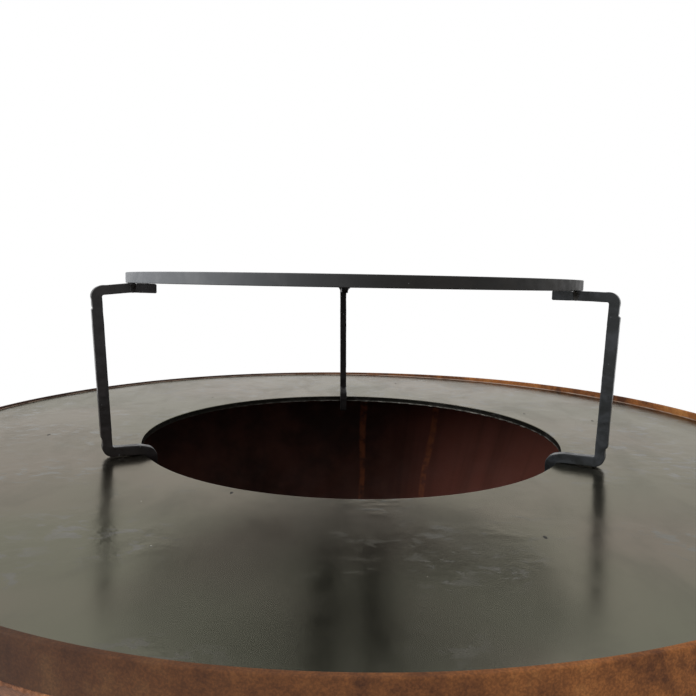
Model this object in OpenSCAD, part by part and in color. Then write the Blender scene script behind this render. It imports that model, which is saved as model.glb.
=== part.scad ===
// Fire bowl grill. A cone of weathering steel on a round pedestal carries a flat, ring-shaped cooking plate,
// and a raised round grate on three bent legs stands over the fire hole in its middle.
// Millimetres, +Z up. The origin is on the ground, under the middle of the bowl.
// The front is -Y, so the single leg of the grate stand is at the back and the other two are front left and right.

/* [Cooking plate] */
// Outer diameter of the cooking plate
plate_d = 1000; // [860:10:1200]
// Diameter of the fire hole in the plate
hole_d = 500; // [420:10:560]
// Thickness of the plate
plate_t = 8; // [6:1:12]
// Height of the cooking surface above the ground
cook_z = 950; // [850:10:1050]
// Gap between the plate's edge and the lip round it
plate_gap = 2; // [1:0.5:5]
// Bevel on the sharp edges of the plate and the hoop
edge_break = 0.8; // [0.3:0.1:1.5]

/* [Bowl] */
// Sheet thickness of the cone
bowl_wall = 3; // [2:0.5:5]
// Depth of the cone, from the lip band down to the floor
bowl_h = 430; // [320:10:480]
// Thickness of the lip band
lip_t = 5; // [3:1:8]
// How far the lip band stands above the cooking surface
lip_proud = 5; // [2:1:15]
// How far the lip band runs down past the seats
lip_tail = 7; // [2:1:40]
// Thickness of the bowl's floor
floor_t = 4; // [3:1:8]
// Diameter of the rain drain in the floor
drain_d = 30; // [15:1:60]

/* [Plate seats] */
// Number of seats that carry the plate
seat_n = 4; // [3:1:6]
// Width of a seat
seat_w = 50; // [30:1:80]
// How far a seat reaches in from the lip band
seat_reach = 37; // [20:1:60]
// Thickness of a seat
seat_t = 8; // [5:1:12]
// Clipped corners of a seat
seat_clip = 8; // [2:1:12]
// Gap that scale and rust keep between the seats and the plate
seat_gap = 0.3; // [0.2:0.1:1]

/* [Pedestal] */
// Outer diameter of the pedestal and of the bowl's floor
pedestal_d = 400; // [340:10:500]
// Sheet thickness of the pedestal
pedestal_wall = 3; // [2:0.5:6]
// Width of the flange at the top of the pedestal
flange_w = 60; // [45:1:80]
// Thickness of the flange
flange_t = 6; // [4:1:10]
// How far the base ring stands out past the pedestal
base_out = 80; // [70:1:140]
// How far the base ring reaches in under the pedestal
base_in = 40; // [20:1:60]
// Thickness of the base ring
base_t = 8; // [5:1:15]
// Number of pads under the base ring
pad_n = 4; // [3:1:6]
// Diameter of a pad
pad_d = 60; // [40:1:66]
// Height of a pad
pad_t = 12; // [8:1:25]
// Distance from a pad's edge to the base ring's edge
pad_inset = 8; // [4:1:20]
// Bevel round a pad's lower edge
pad_bevel = 2; // [1:0.5:4]

/* [Floor bolts] */
// Number of bolts that hold the bowl on the pedestal
bolt_n = 6; // [4:1:8]
// Diameter of a bolt
bolt_d = 10; // [8:1:12]
// Clearance of a bolt in its hole, on the diameter
bolt_clearance = 1; // [0.5:0.1:2]
// Width across the flats of the head and the nut
hex_af = 17; // [15:1:20]
// Height of a bolt's head
head_h = 6.4; // [5:0.1:9]
// Height of a nut
nut_h = 8; // [6:0.5:12]
// Outer diameter of a washer
washer_d = 24; // [21:1:30]
// Thickness of a washer
washer_t = 2; // [1:0.5:3]
// Length of thread that shows below a nut
bolt_tail = 4; // [1:1:12]

/* [Grate] */
// Height of the grate's top above the cooking surface
stand_h = 192.5; // [140:0.5:260]
// How far the hoop stands out past the edge of the fire hole
hoop_over = 14; // [8:1:22]
// Thickness of the hoop's band
hoop_t = 5; // [3:1:8]
// Diameter of the round bar that the grate's rings are bent from
ring_d = 8; // [6:1:10]
// Number of rings
ring_n = 12; // [6:1:12]
// Radius of the innermost ring, to the middle of its bar
ring_first = 20; // [18:1:30]
// Distance from the middle of the outermost ring's bar to the inside of the hoop
ring_edge = 19; // [12:1:28]
// Width of a strip under the rings
strip_w = 30; // [20:1:36]
// Thickness of a strip
strip_t = 3; // [2:1:6]
// Gap between the two strips that run from front to back
strip_gap = 30; // [10:1:34]
// Gap that is left for the weld where a round face meets its seat
weld_gap = 0.2; // [0.1:0.05:0.5]
// How far the whole stand is turned on the plate, in degrees
stand_turn = 1; // [-180:1:180]

/* [Legs] */
// Side of the square bar
bar = 10; // [8:1:14]
// Inside radius of the bends
bend_in = 2; // [1:0.5:5]
// Distance from the edge of the fire hole out to a leg's centre line at the foot
leg_set = 42; // [34:1:60]
// How much nearer to the fire hole the left leg stands than the other two
left_leg_in = 4; // [0:0.5:8]
// How far the left leg was welded from its even place round the hoop, in degrees
left_leg_turn = -3; // [-6:0.5:6]
// How far the right leg was welded from its even place round the hoop, in degrees
right_leg_turn = 0.5; // [-6:0.5:6]
// How far the back leg was welded from its even place round the hoop, in degrees
back_leg_turn = 2; // [-6:0.5:6]
// Outward lean of a leg, in degrees
leg_lean = 2; // [0:0.5:5]
// How far the top arm runs in past the hoop's outer face
arm_reach = 26; // [12:1:40]
// How far the hook reaches below the cooking surface
hook_drop = 20; // [15:1:40]
// Gap between the hook and the wall of the fire hole
hook_gap = 3; // [1:0.5:6]
// Width of the weld fillets beside an arm
weld_w = 10; // [6:1:14]
// Thickness of a weld fillet at its toe
weld_toe = 1; // [0.5:0.5:2]

/* [Hidden] */
$fn = 96;
// Room that a cutting shape has past the faces that it cuts
cut = 1;
// Even places of the legs before the stand is turned: the back one, and the other two 120 degrees from it
back_place = 90;
leg_step = 120;
left_az = stand_turn + back_place + leg_step + left_leg_turn;
right_az = stand_turn + back_place - leg_step + right_leg_turn;
back_az = stand_turn + back_place + back_leg_turn;
// The seats and pads stand between the front, back and sides
quarter_turn = 45;

hole_r = hole_d / 2;
plate_r = plate_d / 2;
plate_low = cook_z - plate_t;
lip_in_r = plate_r + plate_gap;
lip_out_r = lip_in_r + lip_t;
seat_low = plate_low - seat_gap - seat_t;
lip_h = lip_proud + cook_z - seat_low + lip_tail;
lip_low = cook_z + lip_proud - lip_h;
pedestal_r = pedestal_d / 2;
cone_low = lip_low - bowl_h;
cone_angle = atan(bowl_h / (lip_out_r - pedestal_r));
cone_wall_x = bowl_wall / sin(cone_angle);
floor_low = cone_low - floor_t;
flange_low = floor_low - flange_t;
base_top = pad_t + base_t;
base_r = pedestal_r + base_out;
pad_r = base_r - pad_inset - pad_d / 2;
bolt_circle_r = pedestal_r - flange_w / 2;
bolt_hole_r = (bolt_d + bolt_clearance) / 2;

grate_z = cook_z + stand_h;
hoop_r = hole_r + hoop_over;
hoop_in_r = hoop_r - hoop_t;
hoop_h = ring_d + weld_gap + strip_t;
hoop_low = grate_z - hoop_h;
weld_r = hoop_in_r - weld_gap;
ring_pitch = (hoop_in_r - ring_edge - ring_first) / (ring_n - 1);
arm_tip_r = hoop_r - arm_reach;

bend_r = bend_in + bar / 2;
arm_z = stand_h - hoop_h - bar / 2;
foot_z = bar / 2;
foot_r = hole_r + leg_set;
left_foot_r = foot_r - left_leg_in;
hook_r = hole_r - hook_gap - bar / 2;
// Each bend is an arc of this many straight steps
bend_steps = 10;
top_bend = 90 + leg_lean;
low_bend = 90 - leg_lean;
// The length that a bend of a given angle takes from the straight runs on either side
function tangent(angle) = bend_r * tan(angle / 2);

corten = [0.45, 0.25, 0.15];
plate_steel = [0.42, 0.42, 0.40];
forged_steel = [0.18, 0.18, 0.19];
zinc = [0.55, 0.55, 0.53];

function two_digits(n) = n < 10 ? str("0", n) : str(n);
function ring_name(i) = str("grate_ring_", two_digits(i));
function seat_name(i) = str("plate_seat_", i);
function pad_name(i) = str("base_pad_", i);

// A flat ring from radius r_in to r_out and from z_low to z_top, with bevelled edges
module bevelled_ring(r_in, r_out, z_low, z_top, bevel) {
    rotate_extrude($fn = 180)
        polygon([
            [r_in + bevel, z_low], [r_out - bevel, z_low], [r_out, z_low + bevel], [r_out, z_top - bevel],
            [r_out - bevel, z_top], [r_in + bevel, z_top], [r_in, z_top - bevel], [r_in, z_low + bevel]
        ]);
}

// Copies of its children at n places round the axis, at a radius
module around(n, radius, first = 0) {
    for (i = [0:n - 1]) rotate(first + i * 360 / n) translate([radius, 0, 0]) children();
}

// The cooking plate is a flat disc with the fire hole cut from its middle
module cooking_plate() {
    color(plate_steel) bevelled_ring(hole_r, plate_r, plate_low, cook_z, edge_break);
}

// The lip is a rolled flat band, welded on edge to the top of the cone
module lip_band() {
    color(corten) bevelled_ring(lip_in_r, lip_out_r, lip_low, lip_low + lip_h, edge_break);
}

// The cone is rolled sheet that runs from the floor out to the lip band
module bowl_cone() {
    color(corten)
        rotate_extrude($fn = 180)
            polygon([
                [pedestal_r, cone_low], [lip_out_r, lip_low],
                [lip_out_r - cone_wall_x, lip_low], [pedestal_r - cone_wall_x, cone_low]
            ]);
}

// The floor is a disc with a drain in its middle and a ring of bolt holes
module bowl_floor() {
    color(corten)
        translate([0, 0, floor_low])
            difference() {
                cylinder(r = pedestal_r, h = floor_t);
                translate([0, 0, -cut]) cylinder(d = drain_d, h = floor_t + 2 * cut);
                around(bolt_n, bolt_circle_r)
                    translate([0, 0, -cut]) cylinder(r = bolt_hole_r, h = floor_t + 2 * cut);
            }
}

// A seat is a tab on the inside of the lip band, and the plate lies over its upper face
module plate_seat(i) {
    inner = lip_in_r - seat_reach;
    half = seat_w / 2;
    color(corten)
        rotate(quarter_turn + (i - 1) * 360 / seat_n)
            translate([0, 0, seat_low])
                linear_extrude(seat_t)
                    intersection() {
                        polygon([
                            [inner, -half + seat_clip], [inner + seat_clip, -half], [lip_out_r, -half],
                            [lip_out_r, half], [inner + seat_clip, half], [inner, half - seat_clip]
                        ]);
                        circle(r = lip_in_r - weld_gap, $fn = 180);
                    }
}

// The flange closes the top of the pedestal's shell and takes the floor bolts
module pedestal_flange() {
    color(corten)
        translate([0, 0, flange_low])
            difference() {
                cylinder(r = pedestal_r, h = flange_t);
                translate([0, 0, -cut]) cylinder(r = pedestal_r - flange_w, h = flange_t + 2 * cut);
                around(bolt_n, bolt_circle_r)
                    translate([0, 0, -cut]) cylinder(r = bolt_hole_r, h = flange_t + 2 * cut);
            }
}

// The shell is a rolled tube between the base ring and the flange
module pedestal_shell() {
    shell_h = flange_low - base_top;
    color(corten)
        translate([0, 0, base_top])
            difference() {
                cylinder(r = pedestal_r, h = shell_h);
                translate([0, 0, -cut]) cylinder(r = pedestal_r - pedestal_wall, h = shell_h + 2 * cut);
            }
}

// The base ring spreads the load, and is open in its middle so that rain runs out
module pedestal_base() {
    color(corten) bevelled_ring(pedestal_r - base_in, base_r, pad_t, base_top, edge_break);
}

// A pad is a round disc under the base ring, and is all that touches the ground
module base_pad(i) {
    color(forged_steel)
        rotate(quarter_turn + (i - 1) * 360 / pad_n)
            translate([pad_r, 0, 0])
                rotate_extrude()
                    polygon([[0, 0], [pad_d / 2 - pad_bevel, 0], [pad_d / 2, pad_bevel], [pad_d / 2, pad_t], [0, pad_t]]);
}

// A bolt drops through the floor and the flange, with its head in the bowl
module floor_bolts() {
    grip = 2 * washer_t + floor_t + flange_t;
    color(zinc)
        around(bolt_n, bolt_circle_r)
            translate([0, 0, cone_low + washer_t]) {
                cylinder(d = hex_af / cos(30), h = head_h, $fn = 6);
                translate([0, 0, -(grip + nut_h + bolt_tail)]) cylinder(d = bolt_d, h = grip + nut_h + bolt_tail);
            }
}

// One washer lies under each head and one over each nut
module floor_washers() {
    color(zinc)
        around(bolt_n, bolt_circle_r)
            for (z = [cone_low, flange_low - washer_t])
                translate([0, 0, z])
                    difference() {
                        cylinder(d = washer_d, h = washer_t);
                        translate([0, 0, -cut]) cylinder(r = bolt_hole_r, h = washer_t + 2 * cut);
                    }
}

// The nuts hold from below, inside the pedestal
module floor_nuts() {
    color(zinc)
        around(bolt_n, bolt_circle_r)
            translate([0, 0, flange_low - washer_t - nut_h])
                difference() {
                    cylinder(d = hex_af / cos(30), h = nut_h, $fn = 6);
                    translate([0, 0, -cut]) cylinder(d = bolt_d + weld_gap, h = nut_h + 2 * cut);
                }
}

// The hoop is a flat band rolled on edge, as deep as the rings and strips together
module grate_hoop() {
    color(forged_steel) bevelled_ring(hoop_in_r, hoop_r, hoop_low, grate_z, edge_break);
}

// Two long strips lie side by side under the middle of the rings, from front to back, and end at the hoop.
// A turn of 0 gives the right one, and 180 the left one.
module long_strip(turn) {
    color(forged_steel)
        rotate(stand_turn + turn)
            translate([0, 0, hoop_low])
                linear_extrude(strip_t)
                    intersection() {
                        translate([strip_gap / 2, -hoop_r]) square([strip_w, 2 * hoop_r]);
                        circle(r = weld_r, $fn = 180);
                    }
}

// A side strip runs from a long one out to the hoop and carries the sides of the rings, with turns as above
module side_strip(turn) {
    color(forged_steel)
        rotate(stand_turn + turn)
            translate([0, 0, hoop_low])
                linear_extrude(strip_t)
                    intersection() {
                        translate([strip_gap / 2 + strip_w + weld_gap, -strip_w / 2]) square([hoop_r, strip_w]);
                        circle(r = weld_r, $fn = 180);
                    }
}

// The rings are round bar, bent to circles one inside the other, and lie flush with the hoop's top
module grate_ring(i) {
    radius = ring_first + (i - 1) * ring_pitch;
    color(forged_steel)
        translate([0, 0, grate_z - ring_d / 2])
            rotate_extrude($fn = 180) translate([radius, 0]) circle(d = ring_d, $fn = 32);
}

// Points along an arc, from one angle to another
function arc(centre, radius, from, to) =
    [for (k = [0:bend_steps]) let (a = from + (to - from) * k / bend_steps) centre + radius * [cos(a), sin(a)]];

// A leg is one square bar. Its top arm is welded under the hoop, its foot lies on the plate and its end hooks
// down into the fire hole, so that three legs keep the grate in the middle. The outline runs along the outer
// side of the bar from the arm's tip to the hook's, and back along the inner side.
module leg(azimuth, foot) {
    half = bar / 2;
    shoulder = foot + (arm_z - foot_z) * tan(leg_lean);
    top_centre = [shoulder - tangent(top_bend), arm_z - bend_r];
    low_centre = [foot - tangent(low_bend), foot_z + bend_r];
    hook_centre = [hook_r + bend_r, foot_z - bend_r];
    outline = concat(
        [[arm_tip_r, arm_z + half]],
        arc(top_centre, bend_r + half, 90, -leg_lean),
        arc(low_centre, bend_r + half, -leg_lean, -90),
        arc(hook_centre, bend_r - half, 90, 180),
        [[hook_r + half, -hook_drop], [hook_r - half, -hook_drop]],
        arc(hook_centre, bend_r + half, 180, 90),
        arc(low_centre, bend_r - half, -90, -leg_lean),
        arc(top_centre, bend_r - half, -leg_lean, 90),
        [[arm_tip_r, arm_z - half]]
    );
    color(forged_steel)
        rotate(azimuth)
            translate([0, 0, cook_z]) rotate([90, 0, 0]) linear_extrude(bar, center = true) polygon(outline);
}

module leg_left() { leg(left_az, left_foot_r); }
module leg_right() { leg(right_az, foot_r); }
module leg_back() { leg(back_az, foot_r); }

// Hollow weld fillets fill the corners between each arm's sides and the underside of the hoop
module leg_welds() {
    length = hoop_t - 2 * edge_break;
    color(forged_steel)
        for (azimuth = [left_az, right_az, back_az])
            rotate(azimuth)
                for (side = [0, 1])
                    translate([hoop_r - edge_break, 0, hoop_low])
                        mirror([0, side, 0])
                            translate([0, bar / 2, 0])
                                rotate([90, 0, -90])
                                    linear_extrude(length)
                                        mirror([1, 1, 0])
                                            difference() {
                                                square(weld_w);
                                                translate([weld_w, weld_w]) circle(weld_w - weld_toe, $fn = 48);
                                            }
}

cooking_plate();
lip_band();
bowl_cone();
bowl_floor();
for (i = [1:seat_n]) plate_seat(i);
pedestal_flange();
pedestal_shell();
pedestal_base();
for (i = [1:pad_n]) base_pad(i);
floor_bolts();
floor_washers();
floor_nuts();
grate_hoop();
long_strip(180);  // long_strip_left
long_strip(0);  // long_strip_right
side_strip(180);  // side_strip_left
side_strip(0);  // side_strip_right
for (i = [1:ring_n]) grate_ring(i);
leg_left();
leg_right();
leg_back();
leg_welds();
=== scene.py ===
# %% [markdown]
# # A fire bowl grill, dressed for its portrait
# The grill is a cone of weathering steel on a round pedestal. A flat ring of oiled steel lies on the cone and is
# cooked on, and a raised grate on three forged legs stands over the fire hole in the plate's middle.
# The construction comes in as a fixed frame of exact solids. This lesson gives every one of them its finish, and
# rebuilds the ones whose real surface isn't as plain as a solid: turned rings, forged bars and weld beads.

# %% Load the frame
import math

import bmesh
import bpy
import numpy as np
from mathutils import Matrix, Vector, noise


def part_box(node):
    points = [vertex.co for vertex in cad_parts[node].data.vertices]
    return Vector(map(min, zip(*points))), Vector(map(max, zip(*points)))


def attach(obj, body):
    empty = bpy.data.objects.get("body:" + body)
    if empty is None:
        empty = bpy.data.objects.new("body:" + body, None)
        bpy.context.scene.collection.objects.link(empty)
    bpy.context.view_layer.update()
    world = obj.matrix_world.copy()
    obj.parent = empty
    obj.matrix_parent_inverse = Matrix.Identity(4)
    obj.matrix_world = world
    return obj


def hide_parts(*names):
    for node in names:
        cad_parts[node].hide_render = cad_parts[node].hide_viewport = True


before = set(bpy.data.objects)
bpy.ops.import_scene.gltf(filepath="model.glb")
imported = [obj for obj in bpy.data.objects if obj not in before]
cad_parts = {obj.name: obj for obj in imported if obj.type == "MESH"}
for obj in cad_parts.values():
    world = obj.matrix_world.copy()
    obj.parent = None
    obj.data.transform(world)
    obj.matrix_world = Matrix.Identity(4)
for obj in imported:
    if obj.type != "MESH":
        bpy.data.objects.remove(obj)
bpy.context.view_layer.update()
MM = 0.001

# %% [markdown]
# ## Measures
# Everything that is rebuilt here has to sit exactly where the solid sits. So its sizes are read off the solids:
# a round node gives its inner and outer radius and its two heights, and what depends on them is worked out.


# %% Read the round nodes
def ring_size(node):
    """Inner radius, outer radius, lowest and highest point of a round CAD node, in metres."""
    points = np.array([v.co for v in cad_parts[node].data.vertices])
    radius = np.hypot(points[:, 0], points[:, 1])
    return radius.min(), radius.max(), points[:, 2].min(), points[:, 2].max()


HOLE_R, PLATE_R, PLATE_LOW, COOK_Z = ring_size("cooking_plate")
HOOP_IN, HOOP_R, HOOP_LOW, GRATE_Z = ring_size("grate_hoop")
LIP_IN, LIP_R, LIP_LOW, LIP_TOP = ring_size("lip_band")
print(f"fire hole {HOLE_R:.4f}, plate {PLATE_R:.4f}, cooking surface at {COOK_Z:.4f}")
print(f"hoop {HOOP_IN:.4f} to {HOOP_R:.4f}, its band from {HOOP_LOW:.4f} to {GRATE_Z:.4f}")

# %% [markdown]
# ## Camera
# The photograph was taken from in front of the grill, with the eye a little above the grate and looking slightly
# down. The focal length comes from how fast the fire hole shrinks towards the back. The phone was also held a
# little askew, which is the roll. Making the camera from its three axes keeps each of those numbers readable.

# %% Place the camera
PHOTO_WIDTH = 696
FOCAL_PIXELS = 635
SENSOR_WIDTH = 36.0
EYE = Vector((-5.75, -781.75, 1134.75)) * MM
PITCH = 0.1013
ROLL = 0.018

forward = Vector((0, math.cos(PITCH), -math.sin(PITCH)))
level_up = Vector((0, math.sin(PITCH), math.cos(PITCH)))
side = Vector((1, 0, 0)) * math.cos(ROLL) + level_up * math.sin(ROLL)
top = level_up * math.cos(ROLL) - Vector((1, 0, 0)) * math.sin(ROLL)

lens = bpy.data.cameras.new("camera")
lens.sensor_width = SENSOR_WIDTH
lens.lens = FOCAL_PIXELS / PHOTO_WIDTH * SENSOR_WIDTH
lens.clip_start = 0.01
camera = bpy.data.objects.new("camera", lens)
camera.matrix_world = Matrix.Translation(EYE) @ Matrix((side, top, -forward)).transposed().to_4x4()
scene = bpy.context.scene
scene.collection.objects.link(camera)
scene.camera = camera
scene.view_settings.view_transform = "Standard"
print(f"lens {lens.lens:.2f} mm, eye {[round(v, 3) for v in EYE]}")

# %% [markdown]
# ## Small tools for node trees
# Shaders and Geometry Nodes are both trees of nodes. One helper adds a node and fills its inputs with values or
# links, and a few short ones on top of it read like a formula. That keeps each recipe below a few lines long.


# %% Node helpers
def add(tree, kind, inputs=None, **settings):
    """Adds a node, sets its settings, and fills its inputs with values or links."""
    node = tree.nodes.new(kind)
    for name, value in settings.items():
        setattr(node, name, value)
    for key, value in (inputs or {}).items():
        if isinstance(value, bpy.types.NodeSocket):
            tree.links.new(value, node.inputs[key])
        else:
            node.inputs[key].default_value = value
    return node


def calc(tree, operation, *values, clamp=False):
    """The result of one Math node."""
    return add(tree, "ShaderNodeMath", dict(enumerate(values)), operation=operation, use_clamp=clamp).outputs[0]


def mixed(tree, factor, low, high, mode="MIX"):
    """A colour between two colours."""
    sockets = {0: factor, 6: low, 7: high}
    return add(tree, "ShaderNodeMix", sockets, data_type="RGBA", blend_type=mode).outputs[2]


def between(tree, value, low, high, to_low=0.0, to_high=1.0):
    """Eases a value from to_low, at low, over to to_high, at high."""
    sockets = {0: value, 1: low, 2: high, 3: to_low, 4: to_high}
    return add(tree, "ShaderNodeMapRange", sockets, interpolation_type="SMOOTHSTEP").outputs[0]


def cloud(tree, vector, scale, detail=3.0, roughness=0.5, distortion=0.0):
    """Soft noise from 0 to 1, with scale in blotches per metre."""
    sockets = {"Vector": vector, "Scale": scale, "Detail": detail, "Roughness": roughness, "Distortion": distortion}
    return add(tree, "ShaderNodeTexNoise", sockets).outputs[0]


def stretched(tree, vector, x, y, z):
    """A vector with each of its parts scaled."""
    return add(tree, "ShaderNodeVectorMath", {0: vector, 1: (x, y, z)}, operation="MULTIPLY").outputs[0]


def rgb(red, green, blue):
    """A colour with its alpha."""
    return (red, green, blue, 1.0)


print("node helpers ready")

# %% [markdown]
# ## Shared surface effects
# Several finishes share the same effects: scattered specks, worn edges, runs of rust. Each is a shader node group
# with named inputs, made once. A group only hands out masks and heights. The shader itself stays in the material.


# %% Group helper
def new_group(name, inputs, outputs):
    """An empty shader group, with its input sockets and output sockets."""
    tree = bpy.data.node_groups.new(name, "ShaderNodeTree")
    kinds = {"vector": "NodeSocketVector", "value": "NodeSocketFloat", "colour": "NodeSocketColor"}
    for label, kind, default in inputs:
        socket = tree.interface.new_socket(label, in_out="INPUT", socket_type=kinds[kind])
        socket.default_value = default
    for label, kind in outputs:
        tree.interface.new_socket(label, in_out="OUTPUT", socket_type=kinds[kind])
    return tree, tree.nodes.new("NodeGroupInput").outputs, tree.nodes.new("NodeGroupOutput").inputs


def placed(tree, group, **inputs):
    """Places a group in a tree and returns its outputs. An input's name is written with _ for a space."""
    values = {name.replace("_", " "): value for name, value in inputs.items()}
    return add(tree, "ShaderNodeGroup", values, node_tree=group).outputs


# %% Specks
specks, given, made = new_group(
    "specks",
    [("Vector", "vector", (0, 0, 0)), ("Scale", "value", 60), ("Share", "value", 0.1), ("Size", "value", 0.04)],
    [("Mask", "value")],
)
cells = add(specks, "ShaderNodeTexVoronoi", {"Vector": given["Vector"], "Scale": given["Scale"]})
ragged = calc(specks, "MULTIPLY", cloud(specks, given["Vector"], 900), given["Size"])
near = calc(specks, "LESS_THAN", cells.outputs["Distance"], calc(specks, "ADD", ragged, given["Size"]))
luck = add(specks, "ShaderNodeSeparateColor", {0: cells.outputs["Color"]}).outputs[0]
specks.links.new(calc(specks, "MULTIPLY", near, calc(specks, "LESS_THAN", luck, given["Share"])), made["Mask"])
print("specks: one cell in", round(1 / 0.1), "holds a speck")

# %% Worn edges
worn_edge, given, made = new_group(
    "worn edge", [("Radius", "value", 0.001), ("Vector", "vector", (0, 0, 0))], [("Mask", "value")]
)
soft = add(worn_edge, "ShaderNodeBevel", {"Radius": given["Radius"]}, samples=4).outputs[0]
flat = add(worn_edge, "ShaderNodeNewGeometry").outputs["Normal"]
bent = calc(worn_edge, "SUBTRACT", 1, add(worn_edge, "ShaderNodeVectorMath", {0: soft, 1: flat}, operation="DOT_PRODUCT").outputs[1])
patchy = between(worn_edge, cloud(worn_edge, given["Vector"], 160, 4), 0.35, 0.65, 0.15, 1)
worn_edge.links.new(calc(worn_edge, "MULTIPLY", between(worn_edge, bent, 0.01, 0.2), patchy), made["Mask"])
print("worn edges ready")

# %% Runs of rust down a round wall
runs, given, made = new_group(
    "rust runs",
    [("Vector", "vector", (0, 0, 0)), ("Across", "value", 60), ("Along", "value", 1.5), ("Seed", "value", 0)],
    [("Mask", "value"), ("Angle", "value")],
)
part = add(runs, "ShaderNodeSeparateXYZ", {0: given["Vector"]}).outputs
angle = calc(runs, "ARCTAN2", part[1], part[0])
around = add(runs, "ShaderNodeCombineXYZ", {0: calc(runs, "COSINE", angle), 1: calc(runs, "SINE", angle)}).outputs[0]
wide = add(runs, "ShaderNodeVectorMath", {0: around, 3: given["Across"]}, operation="SCALE").outputs[0]
down = add(runs, "ShaderNodeCombineXYZ", {2: calc(runs, "MULTIPLY", part[2], given["Along"]), 0: given["Seed"]}).outputs[0]
place = add(runs, "ShaderNodeVectorMath", {0: wide, 1: down}, operation="ADD").outputs[0]
runs.links.new(cloud(runs, place, 1, 4, 0.55, 0.15), made["Mask"])
runs.links.new(angle, made["Angle"])
print("rust runs ready")

# %% [markdown]
# ## Weathering steel
# The bowl and the pedestal are of a steel that is left to rust. The rust is a tight, fine-grained coat: orange where
# it is young, nearly black-brown where rain keeps it wet, with darker runs below every edge. It has no shine.
# The lip band is painted black on its left side as painted shade and turns orange towards the right, as in the
# photograph, and a thin pale line is painted on its inner face behind the plate's rim as a painted highlight.
# Three sizes of noise give blotches, mottling and grain, and the same grain gives the bump its height.

# %% Rust group
rust, given, made = new_group(
    "rust",
    [
        ("Vector", "vector", (0, 0, 0)),
        ("Dark", "colour", rgb(0.08, 0.035, 0.02)),
        ("Middle", "colour", rgb(0.25, 0.1, 0.045)),
        ("Bright", "colour", rgb(0.42, 0.18, 0.06)),
        ("Runs", "value", 0.5),
    ],
    [("Color", "colour"), ("Roughness", "value"), ("Height", "value")],
)
where = given["Vector"]
blotch = cloud(rust, where, 7, 5, 0.6, 0.4)
mottle = cloud(rust, where, 55, 5, 0.65)
grain = cloud(rust, where, 700, 3, 0.6)
run = placed(rust, runs, Vector=where, Across=34, Along=3.0)["Mask"]
tone = calc(rust, "ADD", calc(rust, "MULTIPLY", blotch, 0.55), calc(rust, "MULTIPLY", mottle, 0.45))
body = mixed(rust, between(rust, tone, 0.38, 0.56), given["Dark"], given["Middle"])
body = mixed(rust, between(rust, tone, 0.53, 0.68), body, given["Bright"])
darker = calc(rust, "MULTIPLY", between(rust, run, 0.52, 0.7), given["Runs"])
body = mixed(rust, darker, body, given["Dark"])
speckle = between(rust, grain, 0.35, 0.7, 0.72, 1.22)
grey = add(rust, "ShaderNodeCombineColor", {0: speckle, 1: speckle, 2: speckle}).outputs[0]
rust.links.new(mixed(rust, 1.0, body, grey, "MULTIPLY"), made["Color"])
rust.links.new(between(rust, tone, 0.3, 0.7, 0.95, 0.78), made["Roughness"])
rough_skin = calc(rust, "MULTIPLY", grain, 0.00008)
rust.links.new(calc(rust, "ADD", rough_skin, calc(rust, "MULTIPLY", mottle, 0.0003)), made["Height"])
print("rust group ready")


# %% Material helper
def new_material(name, **constants):
    """A material with its tree, its shader and object coordinates. Constants go on the shader's own sockets."""
    material = bpy.data.materials.new(name)
    material.use_nodes = True
    tree = material.node_tree
    shader = tree.nodes["Principled BSDF"]
    for socket, value in constants.items():
        shader.inputs[socket.replace("_", " ")].default_value = value
    return material, tree, shader.inputs, add(tree, "ShaderNodeTexCoord").outputs["Object"]


def raised(tree, height, shader, strength=1.0):
    """Feeds a height in metres into the shader as bump."""
    bump = add(tree, "ShaderNodeBump", {"Strength": strength, "Distance": 1.0, "Height": height})
    tree.links.new(bump.outputs[0], shader["Normal"])


def far_out(tree, vector):
    """The distance from the grill's axis, which stands at x = y = 0."""
    flat = stretched(tree, vector, 1, 1, 0)
    return add(tree, "ShaderNodeVectorMath", {0: flat}, operation="LENGTH").outputs["Value"]


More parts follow.
